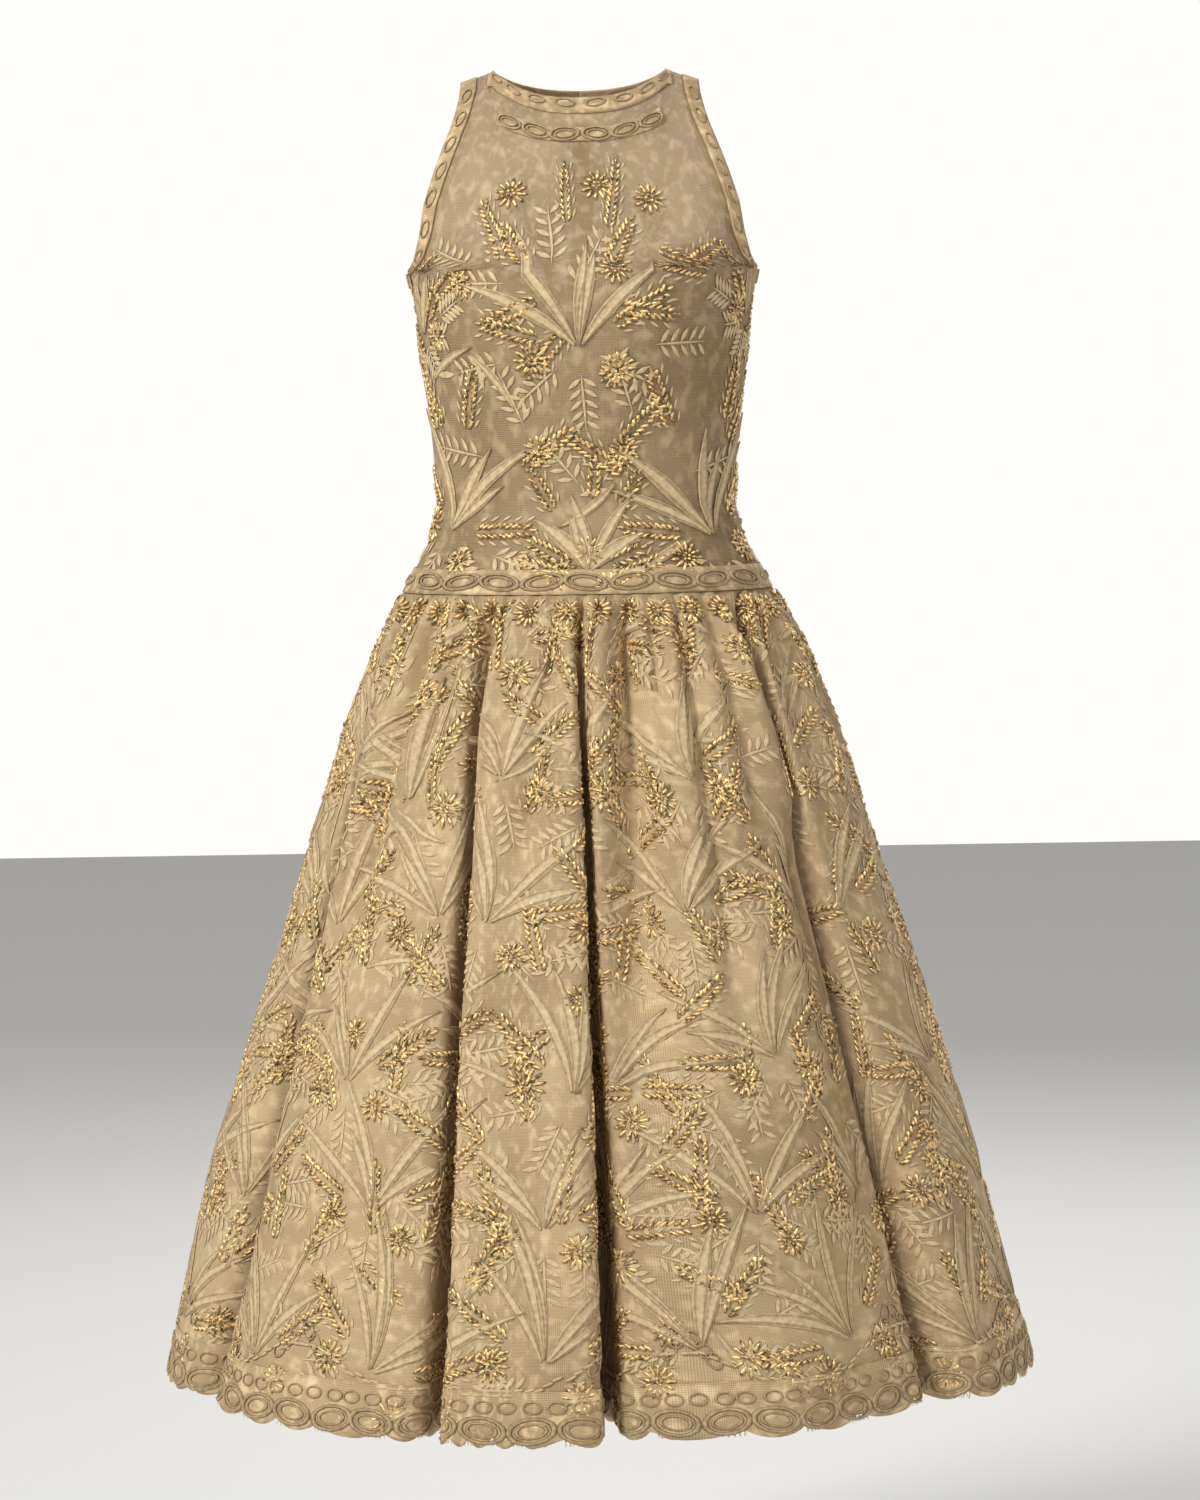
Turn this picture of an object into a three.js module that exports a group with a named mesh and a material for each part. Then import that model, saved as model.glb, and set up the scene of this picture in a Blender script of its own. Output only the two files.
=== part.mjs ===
// Ballerina-length lace evening gown, hollow as worn. Millimetres, +Z up, front towards -Y.
// The origin is on the centre line at shoulder height. Left and right are the wearer's, so left is +X.
import * as THREE from 'three';
import { mergeVertices } from 'three/addons/utils/BufferGeometryUtils.js';

// ---- Driving dimensions ----
const SEAM_GAP = 0.3;               // between pieces that meet at a seam, and between layers
const LACE = 1.2;                   // wall of the lace bodice
const UNDERBODICE = 1.0;            // wall of the strapless bodice under it
const SKIRT_CLOTH = 1.5;            // wall of the skirt's lace and its ground
const GALLOON = 1.4;                // wall of the corded lace edgings
const NECK_HALF = 72;               // centre line to the neck point
const STRAP_HALF = 101;             // centre line to the strap's outer edge, at z 0
const NECK_POINT_Z = 10;            // height of the neck point
const FRONT_NECK_DROP = 27;         // neck point down to the front neckline
const BACK_NECK_DROP = 14;          // neck point down to the back neckline
const SHOULDER_ROUND = 95;          // height over which the front and back close over the shoulder
const UNDERARM_Z = -160;
const WAIST_SEAM_Z = -433;          // dropped waist seam
const HEM_Z = -1105;
const BUST = { x: 72, z: -195, rise: 12, acrossBy: 44, downBy: 50 };
const GALLOON_WIDTH = 15;           // armhole edging
const UNDERBODICE_EASE = 2.0;       // between the underbodice and the lace over it
const UNDERBODICE_BACK_Z = -188;
const PLACKET_HALF = 9;             // half the width of the strip over the back opening

// Sections of the bodice. body: half-width of the whole section; edge: half-width at the armhole edge,
// or the side seam where it equals body; front and back: depths from the side seams.
const BODICE_SECTIONS = [
  { z: 0, body: 195, edge: STRAP_HALF, front: 50, back: 60 },
  { z: -5, body: 195, edge: 101, front: 53, back: 62 },
  { z: -14, body: 195, edge: 102, front: 57, back: 65 },
  { z: -27, body: 194, edge: 105, front: 62, back: 69 },
  { z: -40, body: 193, edge: 109, front: 68, back: 73 },
  { z: -58, body: 190, edge: 116, front: 76, back: 79 },
  { z: -80, body: 184, edge: 124, front: 86, back: 85 },
  { z: -105, body: 174, edge: 132, front: 96, back: 91 },
  { z: -130, body: 163, edge: 136, front: 105, back: 95 },
  { z: -148, body: 154, edge: 141, front: 110, back: 97 },
  { z: UNDERARM_Z, body: 148, edge: 148, front: 112, back: 98 },
  { z: -175, body: 145, edge: 145, front: 113, back: 98 },
  { z: -198, body: 142, edge: 142, front: 112, back: 97 },
  { z: -225, body: 140, edge: 140, front: 109, back: 95 },
  { z: -258, body: 136, edge: 136, front: 103, back: 92 },
  { z: -292, body: 132, edge: 132, front: 98, back: 89 },
  { z: -326, body: 129, edge: 129, front: 94, back: 87 },
  { z: -360, body: 128, edge: 128, front: 93, back: 89 },
  { z: -388, body: 135, edge: 135, front: 97, back: 95 },
  { z: -412, body: 147, edge: 147, front: 102, back: 101 },
  { z: WAIST_SEAM_Z, body: 158, edge: 158, front: 107, back: 108 },
];
// Rows of that table at which edgings and the underbodice start and end.
const ROWS = { neckFoot: 2, yokeTop: 3, yokeFoot: 4, armholeFoot: 11, cupFoot: 13, waistTop: 19, seam: 20 };
// Column lines from the armhole edging's inner line to the centre, as shares of that way.
const FRONT_COLUMNS = [1, 0.833, 0.729, 0.625, 0.52, 0.416, 0.312, 0.208, 0.104, 0];
const BACK_COLUMNS = [1, 0.833, 0.6, 0.4, 0.2];

// Top edge of the underbodice: x across the front, z of its sweetheart line.
const SWEETHEART = [
  { x: -148, z: -178 }, { x: -128, z: -166 }, { x: -80, z: -154 }, { x: -52, z: -164 },
  { x: -12, z: -206 }, { x: 12, z: -186 }, { x: 40, z: -162 }, { x: 84, z: -140 },
  { x: 122, z: -152 }, { x: 148, z: -172 },
];

// Sections of the skirt over the tops of its flutes: half-width and half-depth at each height.
const SKIRT_SECTIONS = [
  { z: WAIST_SEAM_Z, wide: 158, deep: 107.5 },
  { z: -450, wide: 168, deep: 116 },
  { z: -485, wide: 188, deep: 137 },
  { z: -545, wide: 215, deep: 166 },
  { z: -650, wide: 249, deep: 203 },
  { z: -780, wide: 290, deep: 246 },
  { z: -920, wide: 331, deep: 290 },
  { z: -1061, wide: 366, deep: 327 },
  { z: HEM_Z, wide: 376, deep: 338 },
];

// Valleys between the flutes. seam, middle, hem: degrees round from the front, at those heights;
// depth and width: the pocket at the hem; lean: its bottom tucks under the flute on that side;
// dip: how far the flutes fall back at its mouth, over before and after on its two sides.
const VALLEYS = [
  { seam: -69, middle: -64, hem: -67, depth: 62, width: 34, lean: 0.5, dip: 44, before: 40, after: 62 },
  { seam: -30.5, middle: -24.5, hem: -22.5, depth: 76, width: 34, lean: 0.45, dip: 9, before: 60, after: 40 },
  { seam: -1.8, middle: 0.8, hem: 2.4, depth: 78, width: 33, lean: -0.5, dip: 34, before: 22, after: 95 },
  { seam: 50, middle: 52, hem: 55, depth: 70, width: 35, lean: -0.5, dip: 46, before: 120, after: 40 },
  { seam: 84, middle: 87, hem: 91, depth: 66, width: 36, lean: 0.35, dip: 14, before: 40, after: 60 },
  { seam: 112, middle: 116, hem: 119, depth: 78, width: 33, lean: -0.4, dip: 20, before: 70, after: 50 },
  { seam: 146, middle: 149, hem: 150, depth: 70, width: 36, lean: 0.45, dip: 16, before: 50, after: 80 },
  { seam: 180, middle: 180, hem: 180, depth: 82, width: 33, lean: 0, dip: 20, before: 60, after: 60 },
  { seam: 212, middle: 210, hem: 208, depth: 68, width: 35, lean: -0.45, dip: 18, before: 80, after: 50 },
  { seam: 241, middle: 240, hem: 238, depth: 76, width: 34, lean: 0.4, dip: 14, before: 50, after: 60 },
  { seam: 266, middle: 267, hem: 267, depth: 64, width: 35, lean: -0.35, dip: 12, before: 60, after: 30 },
];
const PINCH = 1.05;                 // how far the flutes close over a valley's mouth
const FOLD_START = 0.06;            // share of the skirt's length over which a valley opens

// Widths of the skirt, each from one valley's bottom to another's, as places in VALLEYS.
const SKIRT_WIDTHS = [
  { name: 'front', from: 0, to: 3 },
  { name: 'side_left', from: 3, to: 5 },
  { name: 'back_left', from: 5, to: 7 },
  { name: 'back_right', from: 7, to: 9 },
  { name: 'side_right', from: 9, to: 11 },
];

// ---- Helpers ----
const FAR = 1e4;
const EVERYWHERE = boundsOf(-FAR, FAR, -FAR, FAR);

function boundsOf(left, right, fore, aft) {
  return new THREE.Box3(new THREE.Vector3(left, fore, -FAR), new THREE.Vector3(right, aft, FAR));
}

const rad = THREE.MathUtils.degToRad;

function between(rows, key, at, field) {
  const rising = rows[rows.length - 1][key] > rows[0][key];
  let i = 1;
  while (i < rows.length - 1 && (rising ? rows[i][key] < at : rows[i][key] > at)) i += 1;
  const share = (at - rows[i - 1][key]) / (rows[i][key] - rows[i - 1][key]);
  return THREE.MathUtils.lerp(rows[i - 1][field], rows[i][field], THREE.MathUtils.clamp(share, 0, 1));
}

// Splits the squares of a box's inner face along the same diagonals as those of its outer face, so that
// layers that share their points also share their creases.
function matchDiagonals(geometry) {
  const { start, count } = geometry.groups.find((group) => group.materialIndex === 5);
  const index = geometry.index;
  for (let i = start; i < start + count; i += 6) {
    const [a, b, c, d] = [index.getX(i), index.getX(i + 1), index.getX(i + 4), index.getX(i + 2)];
    [a, b, c, a, c, d].forEach((corner, place) => index.setX(i + place, corner));
  }
}

// A closed wall of cloth over the columns and rows from..to of a surface: a box divided into them, and
// bent onto surface(column, row). Columns run to the right as seen from outside, and rows run down.
// lift moves it out from the surface. bounds keeps it clear of the next panel at their seams.
function clothWall(name, surface, columns, rows, thickness, lift, material, bounds = EVERYWHERE) {
  const step = 1e-3;
  const [wide, high] = [columns.to - columns.from, rows.to - rows.from];
  const geometry = new THREE.BoxGeometry(1, 1, 1, wide, high, 1);
  const place = geometry.attributes.position;
  const across = new THREE.Vector3();
  const down = new THREE.Vector3();
  for (let i = 0; i < place.count; i += 1) {
    const column = columns.from + (place.getX(i) + 0.5) * wide;
    const row = rows.from + (0.5 - place.getY(i)) * high;
    const [left, right] = [Math.max(column - step, columns.from), Math.min(column + step, columns.to)];
    const [above, below] = [Math.max(row - step, rows.from), Math.min(row + step, rows.to)];
    across.subVectors(surface(right, row), surface(left, row)).normalize();
    down.subVectors(surface(column, below), surface(column, above)).normalize();
    const out = down.cross(across).normalize();
    const at = surface(column, row).addScaledVector(out, lift + place.getZ(i) * thickness);
    at.clamp(bounds.min, bounds.max);
    place.setXYZ(i, at.x, at.y, at.z);
  }
  matchDiagonals(geometry);
  geometry.deleteAttribute('normal');
  geometry.deleteAttribute('uv');
  const mesh = new THREE.Mesh(mergeVertices(geometry, 1e-5), material);
  mesh.name = name;
  return mesh;
}

// Value of a list at a place between its entries.
function along(list, place) {
  const first = THREE.MathUtils.clamp(Math.floor(place), 0, list.length - 2);
  return THREE.MathUtils.lerp(list[first], list[first + 1], place - first);
}

// ---- Bodice ----
function shoulderLineZ(x) {
  const slope = NECK_POINT_Z / (STRAP_HALF - NECK_HALF);
  return NECK_POINT_Z - (Math.abs(x) - NECK_HALF) * (Math.abs(x) > NECK_HALF ? slope : 0.6);
}

function neckEdgeZ(x, drop) {
  const share = Math.min(Math.abs(x) / NECK_HALF, 1);
  return Math.abs(x) > NECK_HALF ? shoulderLineZ(x) : NECK_POINT_Z - drop * (1 - share ** 2.6);
}

// Point of the bodice section at height z, angle degrees round from the front.
function bodiceRing(angle, z) {
  const turn = rad(angle);
  const isFront = Math.cos(turn) >= 0;
  const body = between(BODICE_SECTIONS, 'z', z, 'body');
  const depth = between(BODICE_SECTIONS, 'z', z, isFront ? 'front' : 'back');
  const x = body * Math.sin(turn);
  const rise = THREE.MathUtils.clamp((shoulderLineZ(x) - z) / SHOULDER_ROUND, 0, 1);
  const closing = Math.sqrt(1 - (1 - rise) ** 2);
  let y = SEAM_GAP / 2 + depth * Math.abs(Math.cos(turn)) * closing;
  if (isFront) {
    const across = (Math.abs(x) - BUST.x) / BUST.acrossBy;
    const down = (z - BUST.z) / BUST.downBy;
    y += BUST.rise * Math.exp(-across * across - down * down) * Math.cos(turn);
  }
  return new THREE.Vector3(x, isFront ? -y : y, z);
}

// t from -1 to 1 between the armhole edges or side seams, to the right as seen from outside.
function bodicePoint(side, t, row) {
  const field = (name) => along(BODICE_SECTIONS.map((section) => section[name]), row);
  const edgeZ = field('z');
  const sweep = Math.asin(Math.min(field('edge') / field('body'), 1)) * THREE.MathUtils.RAD2DEG;
  const topZ = neckEdgeZ(STRAP_HALF * t, side === 'front' ? FRONT_NECK_DROP : BACK_NECK_DROP);
  const z = edgeZ + topZ * THREE.MathUtils.smoothstep(edgeZ, UNDERARM_Z, 0);
  return bodiceRing(side === 'front' ? sweep * t : 180 + sweep * t, z);
}

// Column lines at one row, from the centre out: t on the wearer's left of a front, or right of a back.
function columnLines(side, row) {
  const half = bodicePoint(side, 1, row).distanceTo(bodicePoint(side, 0, row));
  const edging = 1 - GALLOON_WIDTH / half;
  const lines = (side === 'front' ? FRONT_COLUMNS : BACK_COLUMNS).map((share) => share * edging);
  if (side === 'back') lines.push(PLACKET_HALF / half, 0);
  return [1, ...lines].reverse();
}

// Bodice surface by column and row. Column 0 is the edge at the left as seen from outside.
function bodiceSurface(side) {
  return (column, row) => {
    const lines = columnLines(side, row);
    const away = column - (lines.length - 1);
    return bodicePoint(side, Math.sign(away) * along(lines, Math.abs(away)), row);
  };
}

// The same surface with a seam's gap at the waist seam.
function panelSurface(side) {
  const surface = bodiceSurface(side);
  const rise = SEAM_GAP / (BODICE_SECTIONS[ROWS.waistTop].z - WAIST_SEAM_Z);
  return (column, row) => surface(column, Math.min(row, ROWS.seam - rise));
}

// Row of the bodice table at which a height lies.
function rowAt(z) {
  const rows = BODICE_SECTIONS.map((section, index) => ({ z: section.z, index }));
  return between(rows, 'z', z, 'index');
}

// The bodice surface again, from a top edge z given by x down to the waist seam.
function underSurface(side, topZ) {
  const surface = panelSurface(side);
  return (column, row) => {
    if (row >= 2) return surface(column, ROWS.cupFoot + row - 2);
    const x = surface(column, ROWS.armholeFoot).x;
    return surface(column, THREE.MathUtils.lerp(rowAt(topZ(x)), ROWS.cupFoot, row / 2));
  };
}

// ---- Skirt ----
function valleyAngle(index, share) {
  const turns = Math.floor(index / VALLEYS.length);
  const valley = VALLEYS[index - turns * VALLEYS.length];
  const { seam, middle, hem } = valley;
  const bend = 4 * share * (1 - share);
  return THREE.MathUtils.lerp(seam, hem, share) + bend * (middle - (seam + hem) / 2) + 360 * turns;
}

function skirtRadius(z) {
  return (between(SKIRT_SECTIONS, 'z', z, 'wide') + between(SKIRT_SECTIONS, 'z', z, 'deep')) / 2;
}

function valleyWidth(valley, share) {
  return valley.width * (0.35 + 0.65 * share);
}

// Point of the skirt at angle degrees of cloth round from the front, share of the way down.
function skirtPoint(angle, share) {
  const z = THREE.MathUtils.lerp(WAIST_SEAM_Z, HEM_Z, share);
  const radius = skirtRadius(z);
  const open = 1 - Math.exp(-share / FOLD_START);
  let shift = 0;
  let drop = 0;
  VALLEYS.forEach((valley, index) => {
    const away = angle - valleyAngle(index, share);
    const arc = radius * rad(away - 360 * Math.round(away / 360));
    const width = valleyWidth(valley, share);
    const x = arc / width;
    const spread = arc < 0 ? valley.before : valley.after;
    const pocket = Math.exp(-x * x);
    drop += valley.depth * open * (0.35 + 0.65 * share) * pocket;
    drop += valley.dip * share ** 1.3 * Math.exp(-((arc / spread) ** 2));
    shift += width * open * (valley.lean * pocket - PINCH * x ** 3 * Math.exp(-x * x / 2));
  });
  const turn = rad(angle) + shift / radius;
  const wide = between(SKIRT_SECTIONS, 'z', z, 'wide') - drop;
  const deep = between(SKIRT_SECTIONS, 'z', z, 'deep') - drop;
  return new THREE.Vector3(wide * Math.sin(turn), -deep * Math.cos(turn), z);
}

// Columns of one width: close together in the valleys, a few over each flute.
function widthColumns(from, to) {
  const columns = [];
  const steps = [0.8, 1.5, 2.4];
  for (let i = from; i < to; i += 1) {
    columns.push({ valley: i, offset: 0 });
    steps.forEach((offset) => columns.push({ valley: i, offset }));
    [1 / 3, 2 / 3].forEach((flute) => columns.push({ valley: i, offset: steps.at(-1), flute }));
    steps.toReversed().forEach((offset) => columns.push({ valley: i + 1, offset: -offset }));
  }
  columns.push({ valley: to, offset: 0 });
  return columns;
}

function columnAngle(column, share) {
  const radius = skirtRadius(THREE.MathUtils.lerp(WAIST_SEAM_Z, HEM_Z, share));
  const beside = (index, offset) => {
    const width = valleyWidth(VALLEYS[index % VALLEYS.length], share);
    const arc = offset * width / radius * THREE.MathUtils.RAD2DEG;
    const room = Math.abs(valleyAngle(index + Math.sign(offset), share) - valleyAngle(index, share));
    return valleyAngle(index, share) + Math.sign(offset) * Math.min(Math.abs(arc), room * 0.42);
  };
  if (column.offset === 0) return valleyAngle(column.valley, share);
  const start = beside(column.valley, column.offset);
  if (!column.flute) return start;
  return THREE.MathUtils.lerp(start, beside(column.valley + 1, -column.offset), column.flute);
}

// Surface of one width by column and row of SKIRT_SECTIONS, with half a seam's gap at both sides.
function widthSurface(columns) {
  const shares = SKIRT_SECTIONS.map((section) => (WAIST_SEAM_Z - section.z) / (WAIST_SEAM_Z - HEM_Z));
  const last = columns.length - 1;
  return (column, row) => {
    const share = along(shares, row);
    const first = Math.min(Math.floor(column), last - 1);
    const angles = [columnAngle(columns[first], share), columnAngle(columns[first + 1], share)];
    const radius = skirtRadius(THREE.MathUtils.lerp(WAIST_SEAM_Z, HEM_Z, share));
    const inset = SEAM_GAP * 0.75 / radius * THREE.MathUtils.RAD2DEG;
    const angle = THREE.MathUtils.lerp(angles[0], angles[1], column - first);
    return skirtPoint(angle + inset * (1 - 2 * column / last), share);
  };
}

// ---- Materials ----
const lace = new THREE.MeshStandardMaterial({ color: 0xb59a6a, roughness: 0.75, metalness: 0 });
const edgingLace = new THREE.MeshStandardMaterial({ color: 0xc4a873, roughness: 0.65, metalness: 0 });
const lining = new THREE.MeshStandardMaterial({ color: 0x94794a, roughness: 0.8, metalness: 0 });
const skirtLace = new THREE.MeshStandardMaterial({ color: 0xab8f5e, roughness: 0.72, metalness: 0 });

// ---- Gown ----
const gown = new THREE.Group();
const onLace = LACE / 2 + SEAM_GAP + GALLOON / 2;
const underLace = -(LACE / 2 + UNDERBODICE_EASE + UNDERBODICE / 2);
const bodiceRows = { from: 0, to: ROWS.seam };
const underRows = { from: 0, to: ROWS.seam - ROWS.cupFoot + 2 };

// Front, and the two backs: columns from the left as seen from outside.
const frontHalf = FRONT_COLUMNS.length;
const backHalf = BACK_COLUMNS.length + 2;
const half = SEAM_GAP / 2;
const PANELS = [
  {
    side: 'front', name: 'front', from: 0, to: 2 * frontHalf, bounds: boundsOf(-FAR, FAR, -FAR, -half),
    armholes: { right: 0, left: 2 * frontHalf - 1 },
  },
  {
    side: 'back', name: 'left', from: 0, to: backHalf, bounds: boundsOf(half, FAR, half, FAR),
    armholes: { left: 0 },
  },
  {
    side: 'back', name: 'right', from: backHalf, to: 2 * backHalf, bounds: boundsOf(-FAR, -half, half, FAR),
    armholes: { right: 2 * backHalf - 1 },
  },
];
const sweetheartZ = (x) => between(SWEETHEART, 'x', x, 'z');
const backTopZ = () => UNDERBODICE_BACK_Z;

PANELS.forEach(({ side, name, from, to, bounds, armholes }) => {
  const label = side === 'front' ? 'front' : `back_${name}`;
  const surface = panelSurface(side);
  const under = underSurface(side, side === 'front' ? sweetheartZ : backTopZ);
  const columns = { from, to };
  const allColumns = 2 * (side === 'front' ? frontHalf : backHalf);
  const neck = { from: Math.max(from, 2), to: Math.min(to, allColumns - 2) };
  const add = (piece, onSurface, across, rows, thickness, lift, material) => {
    gown.add(clothWall(piece, onSurface, across, rows, thickness, lift, material, bounds));
  };
  add(`bodice_${label}`, surface, columns, bodiceRows, LACE, 0, lace);
  add(`underbodice_${label}`, under, columns, underRows, UNDERBODICE, underLace, lining);
  add(`neck_galloon_${name}`, surface, neck, { from: 0, to: ROWS.neckFoot }, GALLOON, onLace, edgingLace);
  const waist = { from: ROWS.waistTop, to: ROWS.seam };
  add(`waist_galloon_${name}`, surface, columns, waist, GALLOON, onLace, edgingLace);
  Object.entries(armholes).forEach(([hand, column]) => {
    const strip = { from: column, to: column + 1 };
    const rows = { from: 0, to: ROWS.armholeFoot };
    add(`armhole_galloon_${side}_${hand}`, surface, strip, rows, GALLOON, onLace, edgingLace);
  });
});

const yokeColumns = { from: 3, to: 2 * frontHalf - 3 };
const yokeRows = { from: ROWS.yokeTop, to: ROWS.yokeFoot };
const front = bodiceSurface('front');
gown.add(clothWall('yoke_galloon', front, yokeColumns, yokeRows, GALLOON, onLace, edgingLace));

const placketColumns = { from: backHalf - 1, to: backHalf + 1 };
const placketRows = { from: ROWS.neckFoot + 1, to: ROWS.waistTop - 1 };
const placket = bodiceSurface('back');
gown.add(clothWall('back_placket', placket, placketColumns, placketRows, LACE, LACE + SEAM_GAP, lace));

const onSkirt = SKIRT_CLOTH / 2 + SEAM_GAP + GALLOON / 2;
const skirtRows = { from: 0, to: SKIRT_SECTIONS.length - 1 };
const hemRows = { from: SKIRT_SECTIONS.length - 2, to: SKIRT_SECTIONS.length - 1 };
SKIRT_WIDTHS.forEach(({ name, from, to }) => {
  const lines = widthColumns(from, to);
  const surface = widthSurface(lines);
  const columns = { from: 0, to: lines.length - 1 };
  gown.add(clothWall(`skirt_${name}`, surface, columns, skirtRows, SKIRT_CLOTH, 0, skirtLace));
  gown.add(clothWall(`hem_galloon_${name}`, surface, columns, hemRows, GALLOON, onSkirt, edgingLace));
});

export default gown;
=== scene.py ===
"""Ballerina-length lace evening gown, hollow as worn. Metres, +Z up, front towards -Y, wearer's left +X."""
import math

import bmesh
import bpy
import numpy as np
from mathutils import Matrix, Vector


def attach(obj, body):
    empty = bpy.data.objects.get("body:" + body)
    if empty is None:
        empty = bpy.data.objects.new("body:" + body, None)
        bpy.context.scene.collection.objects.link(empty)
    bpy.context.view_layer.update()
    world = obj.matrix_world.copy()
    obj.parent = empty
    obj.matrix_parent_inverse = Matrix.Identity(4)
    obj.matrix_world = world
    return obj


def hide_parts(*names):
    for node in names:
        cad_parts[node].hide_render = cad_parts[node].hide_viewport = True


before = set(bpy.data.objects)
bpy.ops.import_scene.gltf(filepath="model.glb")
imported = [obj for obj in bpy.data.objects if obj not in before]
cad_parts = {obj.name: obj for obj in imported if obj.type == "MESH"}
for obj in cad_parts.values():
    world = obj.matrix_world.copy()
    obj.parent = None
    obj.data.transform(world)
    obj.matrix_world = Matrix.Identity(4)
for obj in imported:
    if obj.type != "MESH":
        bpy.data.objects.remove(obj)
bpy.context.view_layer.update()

bl_info = {
    "name": "Lace evening gown",
    "version": (1, 0, 0),
    "blender": (4, 5, 0),
    "location": "3D View > Sidebar > Gown",
    "description": "Makes a lace evening gown piece by piece",
    "category": "Add Mesh",
}

MM = 0.001
SEAM_Z, HEM_Z = -433.0, -1105.0
SKIRT_LENGTH = SEAM_Z - HEM_Z
FOLD_START, PINCH = 0.06, 1.05
NECK_HALF, STRAP_HALF, NECK_POINT_Z, SHOULDER_ROUND, UNDERARM_Z = 72.0, 101.0, 10.0, 95.0, -160.0
NECK_DROP = {"front": 27.0, "back": 14.0}
BUST = {"x": 72.0, "z": -195.0, "rise": 12.0, "across": 44.0, "down": 50.0}
GALLOON_WIDTH = 15.0
# The hem border, in millimetres above the hem: its top edge, its ovals, the buds over them and the fans.
BORDER_TOP, OVAL_UP, BUD_UP, FAN_UP = 44, 14, 33, 50
# The swagged cord above it: how low it hangs and how far it rises at its peaks, then in metres the
# distance from peak to peak and from one length of rope to the next, and between lashes of the fringe.
SWAG_LOW, SWAG_RISE = 42, 26
SWAG_LONG, ROPE_STEP, LASH_STEP = 0.22, 0.0085, 0.0021
SHEET_END = 0.978  # share of the skirt's length where its net stops, behind the border's scallops
LINK_CORD = 0.45  # how far an edging's oval takes the cord's dark colour
FLOOR_Z = -1.44
SEED = 7

# Skirt sections over the tops of the flutes, in millimetres: height, half-width, half-depth.
SKIRT = np.array([
    (-433, 158, 107.5), (-450, 168, 116), (-485, 188, 137), (-545, 215, 166), (-650, 249, 203),
    (-780, 290, 246), (-920, 331, 290), (-1061, 366, 327), (-1105, 376, 338),
], float)
# Valleys between flutes: degrees round from the front at the seam, middle and hem, then in millimetres
# depth and width at the hem, lean, dip of the mouth and how far it spreads before and after.
VALLEYS = [
    (-69, -64, -67, 62, 34, 0.5, 44, 40, 62),
    (-30.5, -24.5, -22.5, 76, 34, 0.45, 9, 60, 40),
    (-1.8, 0.8, 2.4, 78, 27, -0.5, 34, 22, 95),
    (50, 52, 55, 70, 35, -0.5, 46, 120, 40),
    (84, 87, 91, 66, 36, 0.35, 14, 40, 60),
    (112, 116, 119, 78, 33, -0.4, 20, 70, 50),
    (146, 149, 150, 70, 36, 0.45, 16, 50, 80),
    (180, 180, 180, 82, 33, 0, 20, 60, 60),
    (212, 210, 208, 68, 35, -0.45, 18, 80, 50),
    (241, 240, 238, 76, 34, 0.4, 14, 50, 60),
    (266, 267, 267, 64, 35, -0.35, 12, 60, 30),
]
# Soft troughs inside the flutes: degrees round, share of the length from and to, depth, half-width in mm.
TROUGHS = [
    (-50, 0.03, 0.6, 24, 12), (-41, 0.0, 0.36, 14, 8), (-18, 0.0, 0.5, 14, 9), (-12, 0.0, 0.44, 26, 9),
    (-6.5, 0.0, 0.3, 7, 5), (11.5, 0.0, 0.85, 42, 14), (18, 0.0, 0.44, 12, 8), (26, 0.0, 0.6, 18, 10),
    (36, 0.0, 0.36, 14, 8), (42, 0.3, 0.9, 24, 12), (63, 0.0, 0.6, 12, 12), (74, 0.1, 0.7, 10, 11),
    (100, 0.0, 0.6, 14, 11), (130, 0.0, 0.7, 14, 12), (139, 0.0, 0.4, 8, 8), (163, 0.0, 0.55, 15, 11),
    (172, 0.1, 0.8, 10, 9), (194, 0.0, 0.6, 14, 11), (203, 0.0, 0.4, 8, 8), (225, 0.0, 0.7, 15, 12),
    (254, 0.0, 0.55, 12, 11), (278, 0.0, 0.7, 12, 11), (-76, 0.1, 0.6, 10, 10),
]
WIDTHS = {
    "front": (0, 3), "side_left": (3, 5), "back_left": (5, 7), "back_right": (7, 9), "side_right": (9, 11),
}
# Bodice sections: height, half-width of the section and at the panel's edge, front depth, back depth.
BODICE = np.array([
    (0, 195, 101, 50, 60), (-5, 195, 101, 53, 62), (-14, 195, 102, 57, 65), (-27, 194, 105, 62, 69),
    (-40, 193, 109, 68, 73), (-58, 190, 116, 76, 79), (-80, 184, 124, 86, 85), (-105, 174, 132, 96, 91),
    (-130, 163, 136, 105, 95), (-148, 154, 141, 110, 97), (-160, 148, 148, 112, 98),
    (-175, 145, 145, 113, 98), (-198, 142, 142, 112, 97), (-225, 140, 140, 109, 95),
    (-258, 136, 136, 103, 92), (-292, 132, 132, 98, 89), (-326, 129, 129, 94, 87),
    (-360, 128, 128, 93, 89), (-388, 135, 135, 97, 95), (-412, 147, 147, 102, 101),
    (-433, 158, 158, 107, 108),
], float)
LAST_ROW = len(BODICE) - 1.0
SWEETHEART = np.array([
    (-148, -178), (-128, -166), (-80, -154), (-52, -164), (-12, -206), (12, -186), (40, -162), (84, -140),
    (122, -152), (148, -172),
], float)


# ---- Surfaces, in millimetres ----
def section(table, z, column):
    return np.interp(-z, -table[:, 0], table[:, column])


def valley_angle(index, share):
    turns, place = divmod(index, len(VALLEYS))
    seam, middle, hem = VALLEYS[place][:3]
    bend = 4 * share * (1 - share)
    return seam + (hem - seam) * share + bend * (middle - (seam + hem) / 2) + 360 * turns


def skirt_radius(share):
    z = SEAM_Z - SKIRT_LENGTH * share
    return (section(SKIRT, z, 1) + section(SKIRT, z, 2)) / 2


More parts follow.
